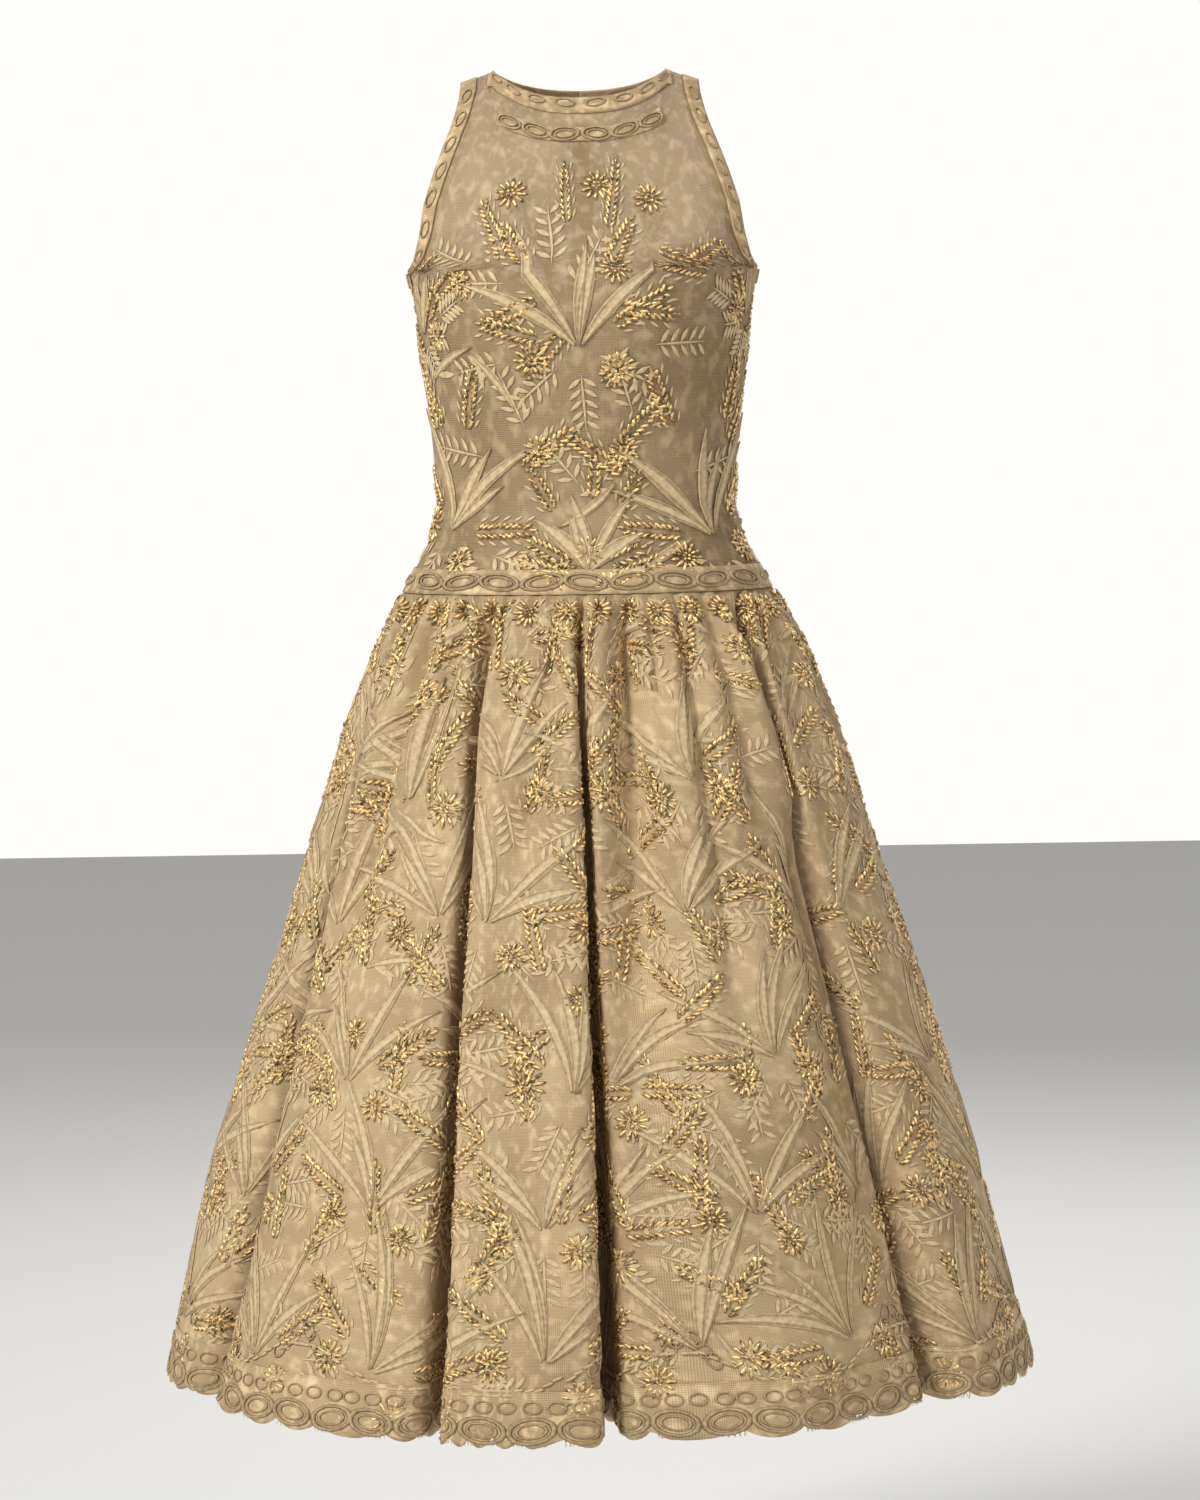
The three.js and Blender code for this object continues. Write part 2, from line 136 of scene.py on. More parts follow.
def skirt_point(angle, share):
    """Points of the skirt: angle of the cloth in degrees round from the front, share of the way down."""
    z = SEAM_Z - SKIRT_LENGTH * share
    radius = skirt_radius(share)
    opened = 1 - np.exp(-share / FOLD_START)
    shift = np.zeros_like(angle)
    drop = np.zeros_like(angle)
    for index, (_, _, _, depth, wide, lean, dip, before, after) in enumerate(VALLEYS):
        away = angle - valley_angle(index, share)
        arc = radius * np.radians(away - 360 * np.round(away / 360))
        width = wide * (0.35 + 0.65 * share)
        x = arc / width
        pocket = np.exp(-x * x)
        drop += depth * opened * (0.35 + 0.65 * share) * pocket
        drop += dip * share ** 1.3 * np.exp(-((arc / np.where(arc < 0, before, after)) ** 2))
        shift += width * opened * (lean * pocket - PINCH * x ** 3 * np.exp(-x * x / 2))
    for at, start, end, depth, wide in TROUGHS:
        away = angle - at
        arc = radius * np.radians(away - 360 * np.round(away / 360))
        fade = np.clip((share - start + 0.04) / 0.08, 0, 1)
        fade = fade * np.clip((end - share) / (end - start), 0, 1) ** 0.7
        drop += depth * opened * fade * np.exp(-((arc / (wide * (0.6 + share))) ** 2))
    ring = np.radians(angle)
    crowd = np.sin(47 * ring + 1.3 * np.sin(5 * ring)) + 0.6 * np.sin(71 * ring + 2 * np.sin(3 * ring))
    drop -= 3.3 * crowd * np.exp(-((share / 0.17) ** 2)) * np.clip(share / 0.006, 0.15, 1)
    drop += 1.6 * np.sin(19 * ring + 9 * share) * share * (1 - np.exp(-share * 4))
    turn = ring + shift / radius
    wide, deep = section(SKIRT, z, 1) - drop, section(SKIRT, z, 2) - drop
    return np.stack([wide * np.sin(turn), -deep * np.cos(turn), z], -1)


def width_angles(first, last, share):
    """Angles of the column lines of one width at one share: close in the valleys, few over the flutes."""
    radius = skirt_radius(share)
    rows = []
    for index in range(first, last):
        here, there = valley_angle(index, share), valley_angle(index + 1, share)
        room = (there - here) * 0.42
        rows.append(here)
        after, before = [], []
        for step in (0.8, 1.5, 2.4):
            wide = [VALLEYS[i % len(VALLEYS)][4] * (0.35 + 0.65 * share) for i in (index, index + 1)]
            after.append(here + np.minimum(np.degrees(step * wide[0] / radius), room))
            before.insert(0, there - np.minimum(np.degrees(step * wide[1] / radius), room))
        flute = [after[-1] + (before[0] - after[-1]) * k / 3 for k in (1, 2)]
        rows += after + flute + before
    rows.append(valley_angle(last, share))
    return np.array(rows)


def width_point(name, u, share):
    """Points of one width of the skirt, u from 0 to 1 across it to the right as seen from outside."""
    shares = np.linspace(0, 1, 81)
    lines = np.array([width_angles(*WIDTHS[name], s) for s in shares])
    column = np.clip(u, 0, 1) * (lines.shape[1] - 1)
    row = np.clip(share, 0, 1) * 80
    c, r = np.minimum(column.astype(int), lines.shape[1] - 2), np.minimum(row.astype(int), 79)
    fc, fr = column - c, row - r
    upper = lines[r, c] * (1 - fc) + lines[r, c + 1] * fc
    lower = lines[r + 1, c] * (1 - fc) + lines[r + 1, c + 1] * fc
    return skirt_point(upper * (1 - fr) + lower * fr, share)


def shoulder_z(x):
    slope = NECK_POINT_Z / (STRAP_HALF - NECK_HALF)
    return NECK_POINT_Z - (np.abs(x) - NECK_HALF) * np.where(np.abs(x) > NECK_HALF, slope, 0.6)


def bodice_ring(side, turn, z):
    """Points of the bodice's section at heights z, turn in radians round from its own centre line."""
    x = section(BODICE, z, 1) * np.sin(turn)
    rise = np.clip((shoulder_z(x) - z) / SHOULDER_ROUND, 0, 1)
    y = 0.15 + section(BODICE, z, 3 if side == "front" else 4) * np.cos(turn) * np.sqrt(1 - (1 - rise) ** 2)
    if side == "front":
        away = ((np.abs(x) - BUST["x"]) / BUST["across"]) ** 2 + ((z - BUST["z"]) / BUST["down"]) ** 2
        y = y + BUST["rise"] * np.exp(-away) * np.cos(turn)
        return np.stack([x, -y, z], -1)
    return np.stack([-x, y, z], -1)


def bodice_point(side, t, row):
    """Points of a front or back, t from -1 to 1 between its edges, row down the table of sections."""
    place = np.arange(len(BODICE))
    edge_z, body, edge = (np.interp(row, place, BODICE[:, k]) for k in (0, 1, 2))
    sweep = np.arcsin(np.minimum(edge / body, 1))
    x = np.abs(STRAP_HALF * t)
    round_edge = NECK_POINT_Z - NECK_DROP[side] * (1 - np.minimum(x / NECK_HALF, 1) ** 2.6)
    top = np.where(x > NECK_HALF, shoulder_z(x), round_edge)
    share = np.clip((edge_z - UNDERARM_Z) / -UNDERARM_Z, 0, 1)
    z = edge_z + top * share * share * (3 - 2 * share)
    point = bodice_ring(side, sweep * t, z)
    ripple = 0.7 * np.sin(z / 9 + 3 * t) * np.exp(-(((z + 380) / 45) ** 2))
    point[..., 1] += np.where(side == "front", -1, 1) * ripple * np.cos(sweep * t)
    return point


class Cloth:
    """A surface sampled closely, on which flat embroidery is laid by its real distances."""

    def __init__(self, place, columns, rows):
        u, v = np.meshgrid(np.linspace(0, 1, columns), np.linspace(0, 1, rows))
        self.points = place(u, v) * MM
        across = np.gradient(self.points, axis=1)
        down = np.gradient(self.points, axis=0)
        out = np.cross(down, across)
        self.normals = out / np.maximum(np.linalg.norm(out, axis=2, keepdims=True), 1e-12)
        steps = np.linalg.norm(np.diff(self.points, axis=1), axis=2)
        self.across = np.concatenate([np.zeros((rows, 1)), np.cumsum(steps, 1)], 1)
        steps = np.linalg.norm(np.diff(self.points, axis=0), axis=2)
        self.down = np.concatenate([np.zeros((1, columns)), np.cumsum(steps, 0)], 0)

    def lay(self, u, v, flat):
        """Lays flat (x right, y up, z out) around the place u, v. Returns points and which lie on it."""
        rows, columns = self.across.shape
        r0, c0 = int(round(v * (rows - 1))), int(round(u * (columns - 1)))
        far, deep = self.across[r0, c0] + flat[:, 0], self.down[r0, c0] - flat[:, 1]
        on = (far > 0.001) & (far < self.across[r0, -1] - 0.001)
        on &= (deep > 0.001) & (deep < self.down[-1, c0] - 0.001)
        column = np.interp(far, self.across[r0], np.arange(columns))
        row = np.interp(deep, self.down[:, c0], np.arange(rows))
        c, r = np.minimum(column.astype(int), columns - 2), np.minimum(row.astype(int), rows - 2)
        fc, fr = (column - c)[:, None], (row - r)[:, None]

        def pick(grid):
            upper = grid[r, c] * (1 - fc) + grid[r, c + 1] * fc
            lower = grid[r + 1, c] * (1 - fc) + grid[r + 1, c + 1] * fc
            return upper * (1 - fr) + lower * fr

        return pick(self.points) + pick(self.normals) * flat[:, 2:3], on


# ---- Shader nodes ----
class Sock:
    """A socket or number in a material, with arithmetic that adds Math nodes."""

    def __init__(self, tree, out):
        self.tree, self.out = tree, out

    def _math(self, operation, *values):
        return make_node(self.tree, "ShaderNodeMath", {"operation": operation}, dict(enumerate(values)))

    def __add__(self, other):
        return self._math("ADD", self, other)

    def __mul__(self, other):
        return self._math("MULTIPLY", self, other)

    def __rsub__(self, other):
        return self._math("SUBTRACT", other, self)

    def __sub__(self, other):
        return self._math("SUBTRACT", self, other)

    __radd__, __rmul__ = __add__, __mul__

    def sin(self):
        return self._math("SINE", self)

    def clamp(self):
        return self._math("MINIMUM", self._math("MAXIMUM", self, 0.0), 1.0)


def make_node(tree, kind, settings, sockets, output=0):
    node = tree.nodes.new(kind)
    for key, value in settings.items():
        setattr(node, key, value)
    for key, value in sockets.items():
        if isinstance(value, Sock):
            tree.links.new(value.out, node.inputs[key])
        else:
            node.inputs[key].default_value = value
    return Sock(tree, node.outputs[output])


def mix_colour(tree, factor, first, second):
    ends = {0: factor, 6: first, 7: second}
    return make_node(tree, "ShaderNodeMix", {"data_type": "RGBA"}, ends, 2)


def start_material(name):
    material = bpy.data.materials.new(name)
    material.use_nodes = True
    tree = material.node_tree
    return material, tree, tree.nodes["Principled BSDF"]


def join(tree, shader, **sockets):
    for key, value in sockets.items():
        slot = shader.inputs[key.replace("_", " ")]
        if isinstance(value, Sock):
            tree.links.new(value.out, slot)
        else:
            slot.default_value = value


def net_material(name, ground, pale, alpha=1.0, toile=0.5):
    """Fine diagonal net with soft paler patches of toile woven in."""
    material, tree, shader = start_material(name)
    uv = make_node(tree, "ShaderNodeUVMap", {}, {})
    parts = tree.nodes.new("ShaderNodeSeparateXYZ")
    tree.links.new(uv.out, parts.inputs[0])
    x, y = Sock(tree, parts.outputs[0]), Sock(tree, parts.outputs[1])
    turns = 2 * math.pi / 0.0023
    holes = ((x + y) * turns).sin() * ((x - y) * turns).sin() * 0.5 + 0.5
    patches = make_node(tree, "ShaderNodeTexNoise", {}, {"Vector": uv, "Scale": 75.0, "Detail": 3.0})
    figure = make_node(tree, "ShaderNodeTexVoronoi", {"feature": "DISTANCE_TO_EDGE"},
                       {"Vector": uv, "Scale": 95.0})
    tint = make_node(tree, "ShaderNodeTexNoise", {}, {"Vector": uv, "Scale": 7.0, "Detail": 2.0})
    density = ((patches - 0.5) * 5.0 + figure * 0.8).clamp() * toile
    shade = (density + holes * 0.6 + (tint - 0.5) * 0.9).clamp()
    colour = mix_colour(tree, shade, (*ground, 1), (*pale, 1))
    relief = holes * 0.6 + density
    bump = make_node(tree, "ShaderNodeBump", {}, {"Strength": 0.5, "Distance": 0.0006, "Height": relief})
    rough = 0.62 + holes * 0.2
    join(tree, shader, Base_Color=colour, Roughness=rough, Normal=bump, Alpha=alpha)
    return material


def thread_material(name, dark_and_shade, pale_and_glint, rough, metal, contrast):
    """Silk or metal thread and beads: colour swings with noise between a dark and a pale end, and cords are
    darker than their filling. On the beads the two ends are a shaded and a lit copy of the gold, so there the
    noise paints shade and glints into the colour.
    """
    material, tree, shader = start_material(name)
    place = make_node(tree, "ShaderNodeTexCoord", {}, {}, 3)
    grain = make_node(tree, "ShaderNodeTexNoise", {}, {"Vector": place, "Scale": 260.0, "Detail": 2.0})
    cord = make_node(tree, "ShaderNodeAttribute", {"attribute_name": "cord"}, {}, 2)
    ply = make_node(tree, "ShaderNodeTexWave", {}, {"Vector": place, "Scale": 420.0, "Distortion": 2.0}, 1)
    # On the beads this noise, at high contrast, paints shade and glints into the colour; on the toile it is tone
    # that varies at random.
    shade = ((grain - 0.5) * contrast + 0.62 - cord * 0.8).clamp()
    colour = mix_colour(tree, shade, (*dark_and_shade, 1), (*pale_and_glint, 1))
    bump = make_node(tree, "ShaderNodeBump", {}, {"Strength": 0.45, "Distance": 0.0004, "Height": ply})
    roughness = grain * 0.3 + rough - 0.15
    join(tree, shader, Base_Color=colour, Roughness=roughness, Metallic=metal, Normal=bump)
    return material


# ---- Mesh making ----
def finish(bm, name, material):
    mesh = bpy.data.meshes.new(name)
    bm.to_mesh(mesh)
    bm.free()
    piece = bpy.data.objects.new(name, mesh)
    bpy.context.scene.collection.objects.link(piece)
    mesh.materials.append(material)
    mesh.shade_smooth()
    return piece


def sheet(name, node, place, columns, rows, material, lift, wall):
    """A sheet of cloth over place(u, v), lifted, given its wall, and with its UV map laid out in metres at the
    size it was cut to.
    """
    bm = bmesh.new()
    layer = bm.loops.layers.uv.new("UVMap")
    bmesh.ops.create_grid(bm, x_segments=columns, y_segments=rows, size=0.5)
    flat = np.array([vert.co for vert in bm.verts])
    u, v = flat[:, 0] + 0.5, 0.5 - flat[:, 1]
    step = 1e-3
    here = place(u, v)
    across = place(np.minimum(u + step, 1), v) - place(np.maximum(u - step, 0), v)
    down = place(u, np.minimum(v + step, 1)) - place(u, np.maximum(v - step, 0))
    out = np.cross(down, across)
    out /= np.maximum(np.linalg.norm(out, axis=1, keepdims=True), 1e-9)
    points = (here + out * lift) * MM
    grid = Cloth(place, 120, 40)
    wide, long = float(grid.across.max()), float(grid.down.max())
    for vert, point in zip(bm.verts, points):
        vert.co = point
    for face in bm.faces:
        for loop in face.loops:
            at = loop.vert.index
            loop[layer].uv = (u[at] * wide, v[at] * long)
    piece = finish(bm, name, material)
    thick = piece.modifiers.new("Wall", "SOLIDIFY")
    thick.thickness = wall * MM
    thick.offset = 0
    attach(piece, "root")
    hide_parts(node)
    return piece


def unit(shape):
    """A unit shape as arrays of vertices, faces and how much of each vertex is cord."""
    bm = bmesh.new()
    if shape == "grain":
        bmesh.ops.create_uvsphere(bm, u_segments=5, v_segments=3, radius=0.5)
        bmesh.ops.rotate(bm, verts=bm.verts, matrix=Matrix.Rotation(math.pi / 2, 3, "X"))
    elif shape == "leaf":
        bmesh.ops.create_grid(bm, x_segments=6, y_segments=7, size=0.5)
    elif shape == "leaflet":
        bmesh.ops.create_grid(bm, x_segments=2, y_segments=4, size=0.5)
    elif shape == "link":
        bmesh.ops.create_circle(bm, segments=3, radius=0.075)
        bmesh.ops.rotate(bm, verts=bm.verts, matrix=Matrix.Rotation(math.pi / 2, 3, "X"))
        bmesh.ops.translate(bm, verts=bm.verts, vec=(0.43, 0, 0))
        bmesh.ops.spin(bm, geom=bm.verts[:] + bm.edges[:], axis=(0, 0, 1), cent=(0, 0, 0),
                       angle=2 * math.pi, steps=13, use_merge=True)
        bmesh.ops.remove_doubles(bm, verts=bm.verts, dist=1e-5)
        bmesh.ops.recalc_face_normals(bm, faces=bm.faces)
    points = np.array([vert.co for vert in bm.verts])
    faces = [[vert.index for vert in face.verts] for face in bm.faces]
    bm.free()
    cord = np.zeros(len(points))
    if shape in ("leaf", "leaflet"):
        along, side = points[:, 1] + 0.5, points[:, 0] * 2
        points[:, 0] *= np.maximum(np.sin(math.pi * np.clip(along * 0.94 + 0.05, 0, 1)), 0.04)
        rim = np.clip((np.abs(side) - 0.6) / 0.1, 0, 1) * (np.abs(side) < 0.99)
        points[:, 2] = np.where(np.abs(side) > 0.99, 0.0, 0.35 + 0.65 * rim)
        if shape == "leaf":
            cord = rim
    if shape == "link":
        cord += LINK_CORD
    return points, faces, cord


class Motif:
    """Flat embroidery: unit shapes placed on a plane, in metres, x right and y up."""

    def __init__(self):
        self.parts = {"leaf": [], "bead": []}

    def put(self, kit, shape, kind, at, turn, size, bend=0.0):
        points, faces, cord = kit[shape]
        flat = points * np.array(size)
        flat[:, 0] += bend * ((flat[:, 1] / size[1] + 0.5) ** 2) * size[1]
        c, s = math.cos(turn), math.sin(turn)
        x, y = flat[:, 0] * c - flat[:, 1] * s + at[0], flat[:, 0] * s + flat[:, 1] * c + at[1]
        self.parts[kind].append((np.stack([x, y, flat[:, 2] + 0.0004], 1), faces, cord))

    def ear(self, kit, foot, turn, long, rng):
        """A wheat ear: paired slanting grains up a stem, a top grain, and pale awns beside them."""
        up = np.array([-math.sin(turn), math.cos(turn)])
        side = np.array([math.cos(turn), math.sin(turn)])
        pairs = max(int(long / 0.0052), 4)
        for k in range(pairs):
            share = k / pairs
            reach = 0.0046 * (1 - 0.45 * abs(share - 0.35))
            for hand in (-1, 1):
                at = np.array(foot) + up * (long * share) + side * hand * reach
                grain = (0.0037, 0.0104 * rng.uniform(0.85, 1.1), 0.0032)
                self.put(kit, "grain", "bead", at, turn - hand * 0.52, grain)
                if k % 2 == 0:
                    awn = at + side * hand * 0.0065 + up * 0.003
                    self.put(kit, "leaflet", "leaf", awn, turn - hand * 0.5, (0.0022, 0.009, 0.0008))
        self.put(kit, "grain", "bead", np.array(foot) + up * long, turn, (0.0034, 0.009, 0.003))

    def flower(self, kit, at, across, rays):
        """A cornflower: rays of long beads round a ring of small ones."""
        for k in range(rays):
            turn = 2 * math.pi * k / rays
            middle = (at[0] - math.sin(turn) * across * 0.31, at[1] + math.cos(turn) * across * 0.31)
            self.put(kit, "grain", "bead", middle, turn, (0.0036, across * 0.36, 0.0032))
        for k in range(5):
            turn = 2 * math.pi * k / 5
            middle = (at[0] + 0.0028 * math.cos(turn), at[1] + 0.0028 * math.sin(turn))
            self.put(kit, "grain", "bead", middle, 0, (0.0032, 0.0032, 0.0036))

    def sprig(self, kit, foot, turn, long):
        """A pale sprig: a thin stem with paired leaflets."""
        up = np.array([-math.sin(turn), math.cos(turn)])
        side = np.array([math.cos(turn), math.sin(turn)])
        stem = np.array(foot) + up * long / 2
        self.put(kit, "leaflet", "leaf", stem, turn, (0.0022, long, 0.0008))
        for k in range(1, 6):
            for hand in (-1, 1):
                at = np.array(foot) + up * long * k / 5.5 + side * hand * 0.0068
                self.put(kit, "leaflet", "leaf", at, turn - hand * 0.95, (0.0040, 0.0135, 0.0011))


def bouquet(kit, rng, size):
    """A sheaf tied at its foot: curved blades, ears between them, flowers at the foot, sprigs outside."""
    motif = Motif()
    for k, lean in enumerate(np.linspace(-0.6, 0.6, 5) + rng.uniform(-0.16, 0.16, 5)):
        long = size * rng.uniform(0.36, 0.66)
        at = (-math.sin(lean) * long * 0.55, math.cos(lean) * long * 0.55)
        wide = rng.uniform(0.009, 0.015)
        bend = 0.34 * math.copysign(1, -lean) * rng.uniform(0.2, 1.2)
        motif.put(kit, "leaf", "leaf", at, lean, (wide, long, 0.0018), bend=bend)
    for lean in (-1.15, -0.5, 0.05, 0.6, 1.2):
        turn = lean + rng.uniform(-0.1, 0.1)
        start = size * (0.56 if abs(lean) < 0.9 else 0.2)
        foot = (-math.sin(turn) * start, math.cos(turn) * start)
        motif.ear(kit, foot, turn, size * rng.uniform(0.24, 0.32), rng)
    motif.flower(kit, (-0.2 * size, -0.03 * size), rng.uniform(0.03, 0.038), 13)
    motif.flower(kit, (0.16 * size, -0.1 * size), rng.uniform(0.028, 0.036), 12)
    for lean, start in ((-2.1, 0.1), (2.2, 0.12), (math.pi, 0.1), (-1.6, 0.32), (1.65, 0.34)):
        foot = (-math.sin(lean) * start * size, math.cos(lean) * start * size)
        motif.sprig(kit, foot, lean, size * 0.25)
    return motif


def filler(kit, rng, kind):
    motif = Motif()
    if kind == 0:
        motif.ear(kit, (0, -0.02), 0.0, 0.044, rng)
    elif kind == 1:
        motif.sprig(kit, (0, -0.025), 0.0, 0.055)
    elif kind == 2:
        motif.flower(kit, (0, 0), 0.03, 12)
    else:
        motif.put(kit, "leaf", "leaf", (0, 0), 0.2, (0.008, 0.06, 0.0016), bend=0.25)
        motif.put(kit, "leaflet", "leaf", (0.012, -0.01), -0.5, (0.006, 0.024, 0.001))
    return motif


class Embroidery:
    """Draped copies of motifs, joined into one mesh for each kind of thread."""

    def __init__(self):
        self.made = {}

    def lay(self, cloth, u, v, motif, turn=0.0, lift=0.0008):
        c, s = math.cos(turn), math.sin(turn)
        for kind, parts in motif.parts.items():
            if not parts:
                continue
            flat = np.concatenate([part[0] for part in parts])
            flat = np.stack([flat[:, 0] * c - flat[:, 1] * s, flat[:, 0] * s + flat[:, 1] * c,
                             flat[:, 2] + lift], 1)
            points, on = cloth.lay(u, v, flat)
            start = 0
            for part, faces, cord in parts:
                end = start + len(part)
                if on[start:end].all():
                    self.made.setdefault(kind, []).append((points[start:end], faces, cord))
                start = end

    def build(self, name, materials, slot):
        for kind, parts in self.made.items():
            points, faces, cords, base = [], [], [], 0
            for part, part_faces, cord in parts:
                points.append(part)
                faces += [[base + corner for corner in face] for face in part_faces]
                cords.append(cord)
                base += len(part)
            mesh = bpy.data.meshes.new(f"{name}_{kind}")
            mesh.from_pydata(np.concatenate(points).tolist(), [], faces)
            mesh.attributes.new("cord", "FLOAT", "POINT").data.foreach_set("value", np.concatenate(cords))
            mesh.materials.append(materials[kind])
            mesh.shade_smooth()
            piece = bpy.data.objects.new(f"{name}_{kind}", mesh)
            bpy.context.scene.collection.objects.link(piece)
            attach(piece, "root")


def links(kit, long, high, double=True):
    """One oval of an edging, drawn in two cords."""
    motif = Motif()
    motif.put(kit, "link", "leaf", (0, 0), 0, (long, high, 0.011))
    if double:
        motif.put(kit, "link", "leaf", (0, 0), 0, (long * 0.66, high * 0.58, 0.009))
    return motif


STORE = {}


def kit_of_units():
    if "kit" not in STORE:
        STORE["kit"] = {shape: unit(shape) for shape in ("grain", "leaf", "leaflet", "link")}
    return STORE["kit"]


def finishes():
    if "finish" not in STORE:
        colours = bpy.context.scene.gown_colours
        ground, pale = tuple(colours.ground), tuple(colours.pale)
        bead, lining = tuple(colours.bead), tuple(colours.lining)
        # The beads' dark end is a shaded copy of the gold and the glint a lit copy: painted shade and painted
        # glints, which the bead material mixes by noise.
        dark_and_shade = tuple(0.34 * part for part in bead)
        glint = tuple(min(1.9 * part, 0.95) for part in bead)
        STORE["finish"] = {
            "skirt": net_material("skirt net", ground, pale, toile=0.34),
            "bodice": net_material("bodice net", ground, pale, alpha=0.52, toile=0.4),
            "edging": net_material("edging net", ground, pale, toile=0.6),
            "lining": net_material("underbodice satin", lining, tuple(1.4 * k for k in lining), toile=0.2),
            "leaf": thread_material("toile and cord", tuple(0.6 * k for k in bead), pale, 0.55, 0.0, 1.0),
            "bead": thread_material("gold beads", dark_and_shade, glint, 0.28, 0.6, 4.2),
        }
    return STORE["finish"]


def skirt_cloth(name):
    key = f"skirt {name}"
    if key not in STORE:
        first, last = WIDTHS[name]
        STORE[key] = Cloth(lambda u, v: width_point(name, u, v), 150 * (last - first), 150)
    return STORE[key]


def bodice_cloth(side):
    if side not in STORE:
        STORE[side] = Cloth(lambda u, v: bodice_point(side, 2 * u - 1, v * LAST_ROW), 160, 160)
    return STORE[side]


# ---- Settings ----
class GownColours(bpy.types.PropertyGroup):
    """Colours of the gown's cloth and threads."""

    ground: bpy.props.FloatVectorProperty(
        name="Net", description="Ground of the lace", subtype="COLOR", default=(0.275, 0.178, 0.080))
    pale: bpy.props.FloatVectorProperty(
        name="Toile", description="Pale woven leaves", subtype="COLOR", default=(0.87, 0.66, 0.37))
    bead: bpy.props.FloatVectorProperty(
        name="Beads", description="Gold beads and bugles", subtype="COLOR", default=(0.47, 0.33, 0.15))
    lining: bpy.props.FloatVectorProperty(
        name="Underbodice", description="Strapless bodice", subtype="COLOR", default=(0.19, 0.12, 0.062))


class GownSizes(bpy.types.PropertyGroup):
    """Sizes of the gown's embroidery and edgings."""

    spacing: bpy.props.FloatProperty(
        name="Spacing", description="Between sheaves", default=0.134, min=0.05, max=0.5, unit="LENGTH")
    sheaf: bpy.props.FloatProperty(
        name="Sheaf", description="Height of one sheaf", default=0.2, min=0.05, max=0.4, unit="LENGTH")
    hem_link: bpy.props.FloatProperty(
        name="Hem oval", description="Length of one oval at the hem", default=0.040, min=0.01, unit="LENGTH")
    skirt_rows: bpy.props.IntProperty(
        name="Skirt rows", description="Rows of faces down the skirt", default=72, min=20, max=300)


# ---- Operators ----
class GOWN_OT_skirt(bpy.types.Operator):
    """Make the five gathered widths of the skirt"""

    bl_idname = "gown.skirt"
    bl_label = "Skirt"

    def execute(self, context):
        rows = context.scene.gown_sizes.skirt_rows
        for name, (first, last) in WIDTHS.items():
            def net(u, v, n=name):
                return width_point(n, u, SHEET_END * v)

            sheet(f"skirt_cloth_{name}", f"skirt_{name}", net,
                  (last - first) * 46, rows, finishes()["skirt"], 0.0, 1.0)
        return {"FINISHED"}


class GOWN_OT_hem(bpy.types.Operator):
    """Make the scalloped hem border with its ovals, swags and eyelash fringe"""

    bl_idname = "gown.hem"
    bl_label = "Hem border"

    def execute(self, context):
        long = context.scene.gown_sizes.hem_link
        kit = kit_of_units()
        top = 1 - BORDER_TOP / SKIRT_LENGTH
        for name, (first, last) in WIDTHS.items():
            cloth = skirt_cloth(name)
            total = float(cloth.across[-1, -1])
            count = max(round(total / long), 2)

            def border(u, v, n=name, repeats=count):
                v = v ** 0.7
                share = top + (1 - top) * v * (0.77 + 0.23 * np.abs(np.sin(math.pi * repeats * u)) ** 0.6)
                return width_point(n, u, share)

            sheet(f"hem_border_{name}", f"hem_galloon_{name}", border, (last - first) * 84, 6,
                  finishes()["edging"], 1.5, 0.7)
            work = Embroidery()
            oval, bud, dash = links(kit, long * 1.08, 0.023), links(kit, 0.017, 0.011, False), Motif()
            dash.put(kit, "leaflet", "leaf", (0, 0), 0, (0.0012, 0.007, 0.0006))
            rope = Motif()
            rope.put(kit, "grain", "leaf", (0, 0), math.pi / 2, (0.0026, 0.011, 0.0024))
            fan = Motif()
            for k in range(3):
                for hand in (-1, 1):
                    fan.put(kit, "link", "leaf", (hand * (0.006 + 0.008 * k), 0.03 - 0.009 * k), hand * 0.7,
                            (0.012, 0.018, 0.009))
            arcs = cloth.across[-1] / total
            columns = np.linspace(0, 1, len(arcs))
            for k in range(count):
                at = float(np.interp((k + 0.5) / count, arcs, columns))
                work.lay(cloth, at, 1 - OVAL_UP / SKIRT_LENGTH, oval, 0.12 * (-1) ** k, 0.0022)
                work.lay(cloth, at, 1 - BUD_UP / SKIRT_LENGTH, bud, 0, 0.0022)
                half = float(np.interp(k / count, arcs, columns))
                work.lay(cloth, half, 1 - BUD_UP / SKIRT_LENGTH, bud, 0, 0.0022)
            for k in range(int(total / ROPE_STEP)):
                way = (k + 0.5) * ROPE_STEP
                turn = math.pi * way / SWAG_LONG
                swag = SWAG_LOW + SWAG_RISE * (abs(math.cos(turn)) ** 3)
                at = float(np.interp(way / total, arcs, columns))
                slope = -1.1 * math.sin(2 * turn) * abs(math.cos(turn))
                work.lay(cloth, at, 1 - swag / SKIRT_LENGTH, rope, slope * 0.55, 0.0012)
            for k in range(int(total / SWAG_LONG) + 1):
                at = float(np.interp(min(k * SWAG_LONG / total, 1), arcs, columns))
                work.lay(cloth, at, 1 - FAN_UP / SKIRT_LENGTH, fan, 0, 0.0014)
            for k in range(int(total / LASH_STEP)):
                way = (k + 0.5) * LASH_STEP / total
                at = float(np.interp(way, arcs, columns))
                up = 3.2 * (1 - abs(math.sin(math.pi * count * way)))
                work.lay(cloth, at, 1 - (4.8 + up) / SKIRT_LENGTH, dash, 0.35 * math.sin(k * 2.4), 0.0008)
            work.build(f"hem_work_{name}", finishes(), "galloon")
        return {"FINISHED"}


